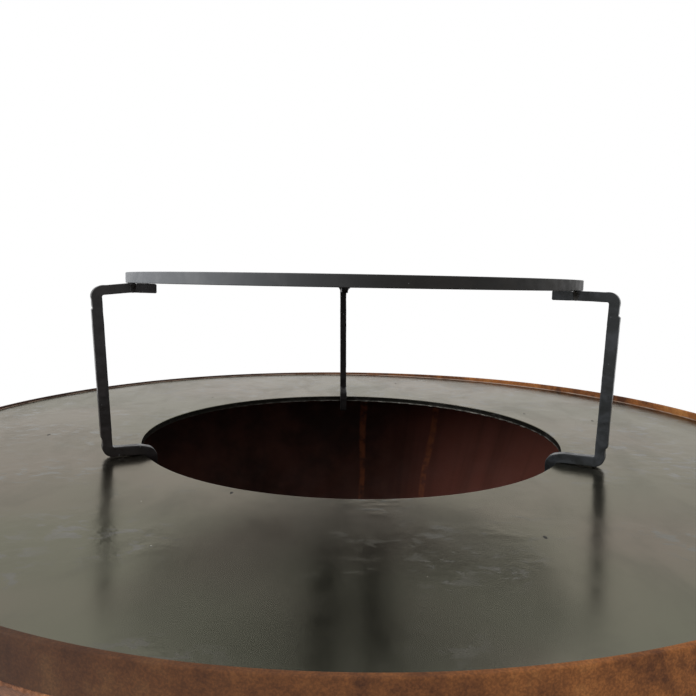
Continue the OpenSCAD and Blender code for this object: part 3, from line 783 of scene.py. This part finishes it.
# %% One bolt, nut, washer and pad
head_low = BOLT_HIGH - HEAD_H
turns_of_thread = round((NUT_HIGH - BOLT_LOW) / THREAD_PITCH)
thread = [(0, BOLT_LOW), (BOLT_R - THREAD_DEPTH, BOLT_LOW)]
for i in range(turns_of_thread):
    height = BOLT_LOW + (i + 0.5) * THREAD_PITCH
    thread += [(BOLT_R, height), (BOLT_R - THREAD_DEPTH, height + THREAD_PITCH / 2)]
shank = thread + [(BOLT_R, NUT_HIGH + THREAD_PITCH), (BOLT_R, head_low)]
head_rows = [(HEX_HALF, head_low), (HEX_HALF, BOLT_HIGH - 0.1 * MM), (HEX_HALF * 0.95, BOLT_HIGH), (0, BOLT_HIGH)]
rows = [(len(shank), 0), (len(shank) + 1, 1)]
bolt_item = turned("bolt item", np.array(shank + head_rows), 24, zinc, shift=hexagonal(*rows))

rim = 0.4 * MM
nut_outline = [
    (BOLT_R, NUT_LOW + rim), (BOLT_R + rim, NUT_LOW), (HEX_HALF, NUT_LOW), (HEX_HALF, NUT_HIGH - 0.1 * MM),
    (HEX_HALF * 0.95, NUT_HIGH), (BOLT_R, NUT_HIGH),
]
nut_item = turned("nut item", np.array(nut_outline), 24, zinc, shift=hexagonal((2, 0), (3, 1)))
corners = [(BOLT_R + 0.5 * MM, -WASHER_T), (WASHER_R, -WASHER_T), (WASHER_R, 0), (BOLT_R + 0.5 * MM, 0)]
washer_item = turned("washer item", rounded(corners, 0.3 * MM, 2, 0.1 * MM), 48, zinc)

PAD_R, PAD_TOP, PAD_COUNT = 30 * MM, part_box("base_pad_1")[1].z, 4
PAD_CIRCLE = (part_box("base_pad_1")[0].x + PAD_R) * math.sqrt(2)
pad_outline = [
    (0, 0), (PAD_R - 3 * MM, 0), (PAD_R - 2 * MM, 0.1 * MM), (PAD_R - 0.6 * MM, 0.9 * MM), (PAD_R, 2.4 * MM),
    (PAD_R, PAD_TOP - 0.6 * MM), (PAD_R - 0.6 * MM, PAD_TOP), (0, PAD_TOP),
]
pad_item = turned("pad item", np.array(pad_outline), 64, forged_steel)

# %% Rings of bolts, washers, nuts and pads
rings = [
    ("floor_bolts_threaded", bolt_item, BOLT_COUNT, BOLT_CIRCLE, 0, 0, zinc, "zinc", ["floor_bolts"]),
    ("floor_nuts_hexagonal", nut_item, BOLT_COUNT, BOLT_CIRCLE, 0, 0, zinc, "zinc", ["floor_nuts"]),
    ("floor_washers_upper", washer_item, BOLT_COUNT, BOLT_CIRCLE, WASHER_HIGH, 0, zinc, "zinc", ["floor_washers"]),
    ("floor_washers_lower", washer_item, BOLT_COUNT, BOLT_CIRCLE, NUT_HIGH + WASHER_T, 0, zinc, "zinc", []),
    ("base_pads_round", pad_item, PAD_COUNT, PAD_CIRCLE, 0, math.pi / 4, forged_steel, "forged_steel",
     [f"base_pad_{i}" for i in range(1, PAD_COUNT + 1)]),
]
for name, item, count, radius, height, first_angle, material, slot, nodes in rings:
    copies = grown(name, ring_tree, count=count, radius=radius, height=float(height),
                   first_angle=float(first_angle), item=item, material=material)
    settle(copies, "fire_bowl", slot, *nodes)
for item in (bolt_item, nut_item, washer_item, pad_item):
    bpy.data.objects.remove(item)

# %% [markdown]
# ## The grate's rings
# Twelve rings of round bar lie one inside the other on four flat strips. Each could be turned like the hoop, but
# they follow one rule, so a tree fits better. It puts a point at each radius, sets a unit circle there, and scales
# the circle by its point's distance. Only then is the bar's round section swept along it, so that every ring is of
# the same bar. Slow noise moves the circles by half a millimetre, because bar that is bent cold never comes quite
# round. A butt weld closes each ring, and a flat bead holds it wherever it crosses a strip.

# %% Tree of rings
grate_tree, given, close = new_tree(
    "rings on strips",
    [
        ("Count", "whole"), ("First Radius", "value"), ("Spacing", "value"), ("Height", "value"),
        ("Bar Radius", "value"), ("Strip X", "value"), ("Side Start", "value"), ("Strip End", "value"),
        ("Turn", "value"), ("Material", "material"),
    ],
)
start = add(grate_tree, "ShaderNodeCombineXYZ", {0: given["First Radius"]}).outputs[0]
step = add(grate_tree, "ShaderNodeCombineXYZ", {0: given["Spacing"]}).outputs[0]
places = add(grate_tree, "GeometryNodeMeshLine", {"Count": given["Count"], "Start Location": start, "Offset": step})
places = places.outputs[0]
position = add(grate_tree, "GeometryNodeInputPosition").outputs[0]
radius = add(grate_tree, "ShaderNodeSeparateXYZ", {0: position}).outputs[0]
unit = add(grate_tree, "GeometryNodeCurvePrimitiveCircle", {"Resolution": 160, 4: 1.0}).outputs[0]
widen = add(grate_tree, "ShaderNodeCombineXYZ", {0: radius, 1: radius, 2: 1}).outputs[0]
circles = add(grate_tree, "GeometryNodeInstanceOnPoints", {"Points": places, "Instance": unit, "Scale": widen})
centre = add(grate_tree, "ShaderNodeCombineXYZ", {2: given["Height"]}).outputs[0]
circles = add(grate_tree, "GeometryNodeSetPosition", {"Geometry": circles.outputs[0], "Position": centre})
circles = add(grate_tree, "GeometryNodeRealizeInstances", {"Geometry": circles.outputs[0]}).outputs[0]
waver = add(grate_tree, "ShaderNodeTexNoise", {"Vector": position, "Scale": 9, "Detail": 0}).outputs["Color"]
waver = add(grate_tree, "ShaderNodeVectorMath", {0: waver, 1: (0.5, 0.5, 0.5)}, operation="SUBTRACT").outputs[0]
waver = stretched(grate_tree, waver, 1.6 * MM, 1.6 * MM, 0)
circles = add(grate_tree, "GeometryNodeSetPosition", {"Geometry": circles, "Offset": waver}).outputs[0]
section = add(grate_tree, "GeometryNodeCurvePrimitiveCircle", {"Resolution": 18, 4: given["Bar Radius"]}).outputs[0]
groups = [add(grate_tree, "GeometryNodeCurveToMesh", {"Curve": circles, "Profile Curve": section}).outputs[0]]

# %% Weld bead helper
blob = add(grate_tree, "GeometryNodeMeshIcoSphere", {"Radius": given["Bar Radius"], "Subdivisions": 3}).outputs[0]
random_size = {0: (0.86, 0.8, 0.85), 1: (1.0, 1.0, 1.0), "Seed": 5}
uneven = add(grate_tree, "FunctionNodeRandomValue", random_size, data_type="FLOAT_VECTOR").outputs[0]


def beads(which, x, y, z, size):
    """Sets a bead at (x, y, z) for each ring that which picks, with its first side turned away from the middle."""
    outwards = add(grate_tree, "ShaderNodeCombineXYZ", {2: calc(grate_tree, "ARCTAN2", y, x)}).outputs[0]
    sized = add(grate_tree, "ShaderNodeVectorMath", {0: uneven, 1: size}, operation="MULTIPLY").outputs[0]
    copies = {"Points": places, "Selection": which, "Instance": blob, "Rotation": outwards, "Scale": sized}
    made = add(grate_tree, "GeometryNodeInstanceOnPoints", copies).outputs[0]
    spot = add(grate_tree, "ShaderNodeCombineXYZ", {0: x, 1: y, 2: z}).outputs[0]
    groups.append(add(grate_tree, "GeometryNodeSetPosition", {"Geometry": made, "Position": spot}).outputs[0])


def other_side(reach, across):
    """The third side of a right-angled triangle: how far along a strip a ring of this radius crosses it."""
    squares = [calc(grate_tree, "POWER", side, 2) for side in (reach, across)]
    return calc(grate_tree, "SQRT", calc(grate_tree, "SUBTRACT", *squares))


# %% Weld beads of the rings and strips
CROSSING_BEAD, BUTT_BEAD, END_BEAD = (1.45, 0.9, 0.45), (1.24, 1.1, 0.96), (0.8, 3.3, 0.5)
every_ring = calc(grate_tree, "GREATER_THAN", radius, 0)
wide_ring = calc(grate_tree, "GREATER_THAN", radius, given["Side Start"])
only_once = calc(grate_tree, "LESS_THAN", add(grate_tree, "GeometryNodeInputIndex").outputs[0], 0.5)
weld_low = calc(grate_tree, "SUBTRACT", given["Height"], given["Bar Radius"])
strip_x = calc(grate_tree, "MINIMUM", given["Strip X"], calc(grate_tree, "MULTIPLY", radius, 0.9))
crossing_y = other_side(radius, strip_x)
end_y = other_side(given["Strip End"], given["Strip X"])
for x_way in (-1, 1):
    side_x = calc(grate_tree, "MULTIPLY", radius, x_way)
    end_x = calc(grate_tree, "MULTIPLY", given["Strip End"], x_way)
    beads(wide_ring, side_x, 0.0, weld_low, CROSSING_BEAD)
    beads(only_once, end_x, 0.0, weld_low, END_BEAD)
    for y_way in (-1, 1):
        x, y = calc(grate_tree, "MULTIPLY", strip_x, x_way), calc(grate_tree, "MULTIPLY", crossing_y, y_way)
        beads(every_ring, x, y, weld_low, CROSSING_BEAD)
        x = calc(grate_tree, "MULTIPLY", given["Strip X"], x_way)
        beads(only_once, x, calc(grate_tree, "MULTIPLY", end_y, y_way), weld_low, END_BEAD)
random_turn = {2: 0.0, 3: 2 * math.pi, "Seed": 8}
joint_turn = add(grate_tree, "FunctionNodeRandomValue", random_turn, data_type="FLOAT").outputs[1]
joint_x = calc(grate_tree, "MULTIPLY", radius, calc(grate_tree, "COSINE", joint_turn))
joint_y = calc(grate_tree, "MULTIPLY", radius, calc(grate_tree, "SINE", joint_turn))
beads(every_ring, joint_x, joint_y, given["Height"], BUTT_BEAD)
joined = grate_tree.nodes.new("GeometryNodeJoinGeometry")
for group in groups:
    grate_tree.links.new(group, joined.inputs[0])
swing = add(grate_tree, "ShaderNodeCombineXYZ", {2: given["Turn"]}).outputs[0]
whole = add(grate_tree, "GeometryNodeTransform", {"Geometry": joined.outputs[0], "Rotation": swing}).outputs[0]
close(add(grate_tree, "GeometryNodeSetShadeSmooth", {"Geometry": whole}).outputs[0])
print("ring tree:", len(grate_tree.nodes), "nodes")

# %% Rings
STAND_TURN = math.radians(1)
ring_nodes = sorted(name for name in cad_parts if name.startswith("grate_ring_"))
first_in, first_out, ring_low, ring_top = ring_size(ring_nodes[0])
last_in, last_out = ring_size(ring_nodes[-1])[:2]
BAR_R = (ring_top - ring_low) / 2
FIRST_R = (first_in + first_out) / 2
RING_SPACING = ((last_in + last_out) / 2 - FIRST_R) / (len(ring_nodes) - 1)
STRIP_X, STRIP_W = 30 * MM, 30 * MM
print(f"{len(ring_nodes)} rings of {2 * BAR_R:.4f} bar, {RING_SPACING:.4f} apart, from {FIRST_R:.4f}")
rings = grown("grate_rings_welded", grate_tree, count=len(ring_nodes), first_radius=float(FIRST_R),
              spacing=float(RING_SPACING), height=float(GRATE_Z - BAR_R), bar_radius=float(BAR_R),
              strip_x=STRIP_X, side_start=STRIP_X + STRIP_W / 2 + float(BAR_R), strip_end=float(HOOP_IN - 1 * MM),
              turn=STAND_TURN, material=rolled_steel)
settle(rings, "grate_stand", "forged_steel", *ring_nodes)

# %% [markdown]
# ## Forged legs
# A leg is one square bar, bent three times: out under the hoop, down, in along the plate, and down again as a hook
# in the fire hole. It was bent hot and finished with a hammer, which shows. The corners are soft, the faces are
# uneven, the bends bulge on their outside, and the bar is drawn thinner round each bend than in the upright.
# So the bar is swept: a rounded square section follows the centre line in short steps, and each step may be thicker,
# nicked or set in. A last move bows the arm down a little, lifts the heel off the plate and leans the back leg
# sideways, because no leg is quite like the next.

# %% Sizes of a leg, in its own plane
BAR = 10 * MM
HALF = BAR / 2
BEND_R = 7 * MM
ARM_TIP = HOOP_R - 27.3 * MM
ARM_Z = HOOP_LOW - HALF
FOOT_Z = COOK_Z + HALF
HOOK_R = HOLE_R - 2 * MM - HALF
HOOK_LOW = COOK_Z - 20 * MM
HOOK_DIP = 1.6 * MM
LEGS = {
    "leg_left": {"turn": 208, "foot": 38, "lean": 2.6, "stout": 0.8, "heel": 1.4, "sag": 3.4, "tip_sag": 0.6, "askew": 0},
    "leg_right": {"turn": 331.5, "foot": 42, "lean": 1.9, "stout": 1.6, "heel": 1.2, "sag": 1.0, "tip_sag": 0, "askew": 0},
    "leg_back": {"turn": 93, "foot": 42, "lean": 2, "stout": 0.8, "heel": 0.6, "sag": 1.8, "tip_sag": 2.2, "askew": -2.6},
}
print(f"arm at {ARM_Z:.4f}, hook at {HOOK_R:.4f}")


# %% Centre line
def centre_line(foot_r, shoulder_r, step):
    """Points (radius, height), their outward directions, and where each run ends, from the arm's tip to the hook's."""
    lean = math.atan2(shoulder_r - foot_r, ARM_Z - FOOT_Z)
    top = (shoulder_r - BEND_R * math.tan(math.pi / 4 + lean / 2), ARM_Z - BEND_R)
    low = (foot_r - BEND_R * math.tan(math.pi / 4 - lean / 2), FOOT_Z + BEND_R)
    hook = (HOOK_R + BEND_R, FOOT_Z - BEND_R)
    down, right = -math.pi / 2, math.pi / 2
    moves = [
        ("line", (ARM_TIP, ARM_Z), (top[0], ARM_Z)), ("arc", top, right, -lean),
        ("line", None, (low[0] + BEND_R * math.cos(lean), low[1] - BEND_R * math.sin(lean))),
        ("arc", low, -lean, down), ("line", None, (hook[0], FOOT_Z)), ("arc", hook, right, math.pi),
        ("line", None, (HOOK_R, HOOK_LOW)),
    ]
    points, outward, marks = [], [], []
    for kind, first, second, *last in moves:
        if kind == "line":
            begin, end = np.array(points[-1] if first is None else first), np.array(second)
            length = np.linalg.norm(end - begin)
            along = (end - begin) / length
            for k in range(1 if points else 0, math.ceil(length / step) + 1):
                points.append(begin + (end - begin) * k / math.ceil(length / step))
                outward.append(np.array([-along[1], along[0]]))
        else:
            begin, end = second, last[0]
            inside_out = 1 if end < begin else -1
            count = math.ceil(abs(end - begin) * BEND_R / step) * 2
            for k in range(1, count + 1):
                turn = begin + (end - begin) * k / count
                spoke = np.array([math.cos(turn), math.sin(turn)])
                points.append(np.array(first) + BEND_R * spoke)
                outward.append(spoke * inside_out)
        marks.append(len(points) - 1)
    return np.array(points), np.array(outward), marks


def measured(points, marks):
    """How far along the bar each point is, and the middles of its three bends."""
    along = np.concatenate([[0], np.cumsum(np.linalg.norm(np.diff(points, axis=0), axis=1))])
    return along, [(along[marks[i]] + along[marks[i + 1]]) / 2 for i in (0, 2, 4)]


print("centre line ready")


# %% Section and marks of the hammer
def square_section(edge, count=6):
    """Points round a square bar with rounded edges, as (outward, sideways)."""
    section = []
    for quarter in range(4):
        middle = quarter * math.pi / 2 + math.pi / 4
        corner = np.array([math.cos(middle), math.sin(middle)]) * (HALF - edge) * math.sqrt(2)
        for k in range(count):
            turn = quarter * math.pi / 2 + math.pi / 2 * k / (count - 1)
            section.append(corner + edge * np.array([math.cos(turn), math.sin(turn)]))
        following = middle + math.pi / 2
        next_corner = np.array([math.cos(following), math.sin(following)]) * (HALF - edge) * math.sqrt(2)
        end = quarter * math.pi / 2 + math.pi / 2
        face = edge * np.array([math.cos(end), math.sin(end)])
        section.extend(corner + face + (next_corner - corner) * t for t in (0.12, 0.37, 0.63, 0.88))
    return np.array(section)


def bump(value, middle, half_width):
    """A smooth hill of height 1 round a middle."""
    reach = np.clip(np.abs(value - middle) / half_width, 0, 1)
    return (1 - reach**2) ** 2


SECTION = square_section(0.8 * MM)


def forged(name, seed, turn, foot, lean, stout, heel, sag, tip_sag, askew):
    """One leg, swept along the centre line and turned to its place round the hole. Its small sizes are in mm."""
    foot_r = HOLE_R + foot * MM
    shoulder_r = foot_r + (ARM_Z - FOOT_Z) * math.tan(math.radians(lean))
    points, outward, marks = centre_line(foot_r, shoulder_r, 1.2 * MM)
    along, bends = measured(points, marks)
    nicks = [bends[0] + 17 * MM, bends[1] - 13.5 * MM]
    bulge = sum(bump(along, middle, 9 * MM) for middle in bends)
    nicked = bump(along, nicks[0], 2.0 * MM)
    upright = np.clip((along - nicks[0]) / (1.5 * MM), 0, 1) * np.clip((nicks[1] - along) / (1.5 * MM), 0, 1)
    set_in = np.clip((along - nicks[1]) / (1.5 * MM), 0, 1) * np.clip((bends[1] - along) / (9 * MM), 0, 1)
    cap = np.minimum(along, along[-1] - along)
    tip = 1.6 * MM
    shrink = np.where(cap < tip, np.sqrt(np.clip(1 - (1 - cap / tip) ** 2, 0, 1)) * 0.16 + 0.84, 1)
    vertices = []
    turn = math.radians(turn)
    outwards, sideways = Vector((math.cos(turn), math.sin(turn), 0)), Vector((-math.sin(turn), math.cos(turn), 0))
    for i in range(len(points)):
        for across, side in SECTION:
            out_face = max(0.0, across / HALF)
            grown_by = bulge[i] * 0.9 + upright[i] * stout - nicked[i] * 0.5 - set_in[i] * 0.5
            reach = across * shrink[i] + out_face * grown_by * MM
            wide = side * shrink[i] * (1 - 0.03 * nicked[i] + 0.05 * bulge[i])
            spot = Vector((points[i][0] * 90, points[i][1] * 90, seed * 10.0)) + Vector((across, side, 0)) * 60
            push = noise.noise(spot) * 0.22 * MM + noise.noise(spot * 2.7) * 0.1 * MM
            near = Vector((across, side)).normalized()
            reach, wide = reach + near.x * push, wide + near.y * push
            place = points[i] + outward[i] * reach
            rise = min(1, max(0, (place[1] - COOK_Z) / (ARM_Z - COOK_Z)))
            out = min(1, max(0, (place[0] - HOLE_R) / (foot_r - HOLE_R)))
            past_hoop = min(1, max(0, (place[0] - HOOP_R + 2 * MM) / (shoulder_r - HOOP_R)))
            before_hoop = min(1, max(0, (HOOP_IN - place[0]) / (HOOP_IN - ARM_TIP)))
            lower = (sag * past_hoop + tip_sag * before_hoop) * rise**4 - heel * out * (1 - rise)
            dipped = HOOK_DIP * min(1, max(0, (HOLE_R + 6 * MM - place[0]) / (8 * MM))) * (rise < 0.2)
            low = place[1] - lower * MM - dipped
            if place[0] > HOLE_R:
                low = max(low, COOK_Z + 0.05 * MM)
            wide += askew * MM * (1 - rise) * (0.4 + 0.6 * out)
            vertices.append(outwards * place[0] + sideways * wide + Vector((0, 0, low)))
    count = len(SECTION)
    faces = []
    for i in range(len(points) - 1):
        for j in range(count):
            here, beside = i * count + j, i * count + (j + 1) % count
            faces.append((here, beside, beside + count, here + count))
    faces.append(tuple(reversed(range(count))))
    faces.append(tuple(range(len(vertices) - count, len(vertices))))
    return new_piece(name, vertices, faces, sooty_steel if name == "leg_back_forged" else forged_steel, sharp=60)


# %% Three legs
for seed, (name, sizes) in enumerate(LEGS.items()):
    leg = forged(name + "_forged", seed, **sizes)
    settle(leg, "grate_stand", "forged_steel", name)

# %% [markdown]
# ### Welds of the legs
# Each arm is welded to the underside of the hoop on both of its sides. Seen along the arm, the weld is a hollow fillet
# that flares out at the top. Liquid steel never sets evenly, so the fillet gets lumps.


# %% Fillets
def fillet(side, size, toe, length, seed, rows=16, steps=9):
    """A hollow fillet beside an arm, as rows along the hoop's thickness, in the leg's own directions."""
    rng_shift = seed * 7.3
    vertices, faces = [], []
    for i in range(steps):
        share = i / (steps - 1)
        domed = math.sqrt(max(0.0, 1 - (2 * share - 1) ** 4)) * 0.35 + 0.65
        r = HOOP_R - 0.2 * MM - share * length
        for k in range(rows):
            turn = math.pi / 2 * k / (rows - 1)
            y = size - (size - toe) * math.cos(turn)
            z = size - (size - toe) * math.sin(turn)
            lump = noise.noise(Vector((y * 420, z * 420, r * 420 + rng_shift))) * 0.7 * MM
            out = HALF - 0.4 * MM + max(0, y * FLARE * domed + lump)
            vertices.append((r, side * out, HOOP_LOW - max(0, z * domed + lump)))
        vertices.append((r, side * (HALF - 0.4 * MM), HOOP_LOW + 0.3 * MM))
    ring = rows + 1
    for i in range(steps - 1):
        for k in range(ring):
            a, b = i * ring + k, i * ring + (k + 1) % ring
            faces.append((a, b, b + ring, a + ring))
    faces.append(tuple(range(ring)))
    faces.append(tuple(reversed(range((steps - 1) * ring, steps * ring))))
    return vertices, faces


WELD_W, WELD_TOE, HOOP_T = 10 * MM, 1 * MM, HOOP_R - HOOP_IN
FLARE = 1.4
vertices, faces = [], []
for seed, sizes in enumerate(LEGS.values()):
    turn = math.radians(sizes["turn"])
    for side in (-1, 1):
        made_vertices, made_faces = fillet(side, WELD_W, WELD_TOE, HOOP_T + 1 * MM, seed * 2 + side)
        first = len(vertices)
        for r, y, z in made_vertices:
            vertices.append((r * math.cos(turn) - y * math.sin(turn), r * math.sin(turn) + y * math.cos(turn), z))
        faces.extend(tuple(first + i for i in face) for face in made_faces)
welds = new_piece("leg_welds_hollow", vertices, faces, weld_steel, sharp=70)
settle(welds, "grate_stand", "forged_steel", "leg_welds")

# %% [markdown]
# ## Pieces that keep their solid
# The floor of the bowl, the seats, the flange and the four strips under the rings are plain plates, and their
# solids have the right shape. They only need a finish, whose worn edges come from the shader.

# %% Finish of the plain pieces
KEPT = {
    "bowl_floor": rusted["rusted_floor"], "pedestal_flange": rusted["rusted_outside"],
}
KEPT.update({name: rolled_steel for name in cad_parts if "_strip_" in name})
KEPT.update({name: rusted["rusted_outside"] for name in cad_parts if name.startswith("plate_seat_")})
for name, material in KEPT.items():
    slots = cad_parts[name].material_slots
    for slot in slots:
        slot.material = material
print("solids that stay:", sorted(KEPT))

# %% [markdown]
# ## Floor and light
# The photograph is lit by a large window on the left, and all else is a soft white. A square softbox stands in for
# the window. The world gives even light from all round, and shows white to the camera and in reflections. The
# floor is a pale disc that fades out with distance, so it holds the shadow near the grill and leaves no horizon.

# %% Floor
FLOOR_R_INNER, FLOOR_R_OUTER = 1.6, 3.2
floor_material, tree, shader, where = new_material("pale_floor", Roughness=0.9, Specular_IOR_Level=0.2)
shader["Base Color"].default_value = rgb(0.82, 0.82, 0.81)
distance = add(tree, "ShaderNodeVectorMath", {0: stretched(tree, where, 1, 1, 0)}, operation="LENGTH").outputs[1]
fade = between(tree, distance, FLOOR_R_INNER, FLOOR_R_OUTER)
clear = add(tree, "ShaderNodeBsdfTransparent").outputs[0]
blend = add(tree, "ShaderNodeMixShader", {0: fade, 1: tree.nodes["Principled BSDF"].outputs[0], 2: clear})
tree.links.new(blend.outputs[0], tree.nodes["Material Output"].inputs[0])
ring = [(FLOOR_R_OUTER * math.cos(a), FLOOR_R_OUTER * math.sin(a), 0) for a in np.linspace(0, 2 * math.pi, 97)[:-1]]
floor = new_piece("studio_floor", ring, [tuple(range(96))], floor_material)
print("floor fades from", FLOOR_R_INNER, "to", FLOOR_R_OUTER)

# %% Softbox
WINDOW_AT, WINDOW_SIZE, WINDOW_POWER = Vector((-3.0, -1.0, 2.6)), 3.0, 110
softbox = bpy.data.lights.new("softbox", "AREA")
softbox.shape = "SQUARE"
softbox.size = WINDOW_SIZE
softbox.energy = WINDOW_POWER
lamp = bpy.data.objects.new("softbox", softbox)
aim = (Vector((0, 0, COOK_Z)) - WINDOW_AT).to_track_quat("-Z", "Y")
lamp.matrix_world = Matrix.Translation(WINDOW_AT) @ aim.to_matrix().to_4x4()
scene.collection.objects.link(lamp)
print("softbox", WINDOW_SIZE, "m wide,", WINDOW_POWER, "W")

# %% World
AMBIENT = 0.55
world = bpy.data.worlds.new("studio")
world.use_nodes = True
scene.world = world
tree = world.node_tree
tree.nodes.clear()
path = add(tree, "ShaderNodeLightPath").outputs
seen = calc(tree, "MAXIMUM", path["Is Camera Ray"], path["Is Glossy Ray"])
seen = calc(tree, "MAXIMUM", seen, path["Is Transmission Ray"])
ambient = add(tree, "ShaderNodeBackground", {0: rgb(1, 1, 1), 1: AMBIENT}).outputs[0]
white = add(tree, "ShaderNodeBackground", {0: rgb(1, 1, 1), 1: 1.0}).outputs[0]
sky = add(tree, "ShaderNodeMixShader", {0: seen, 1: ambient, 2: white}).outputs[0]
add(tree, "ShaderNodeOutputWorld", {0: sky})
print("ambient level", AMBIENT)
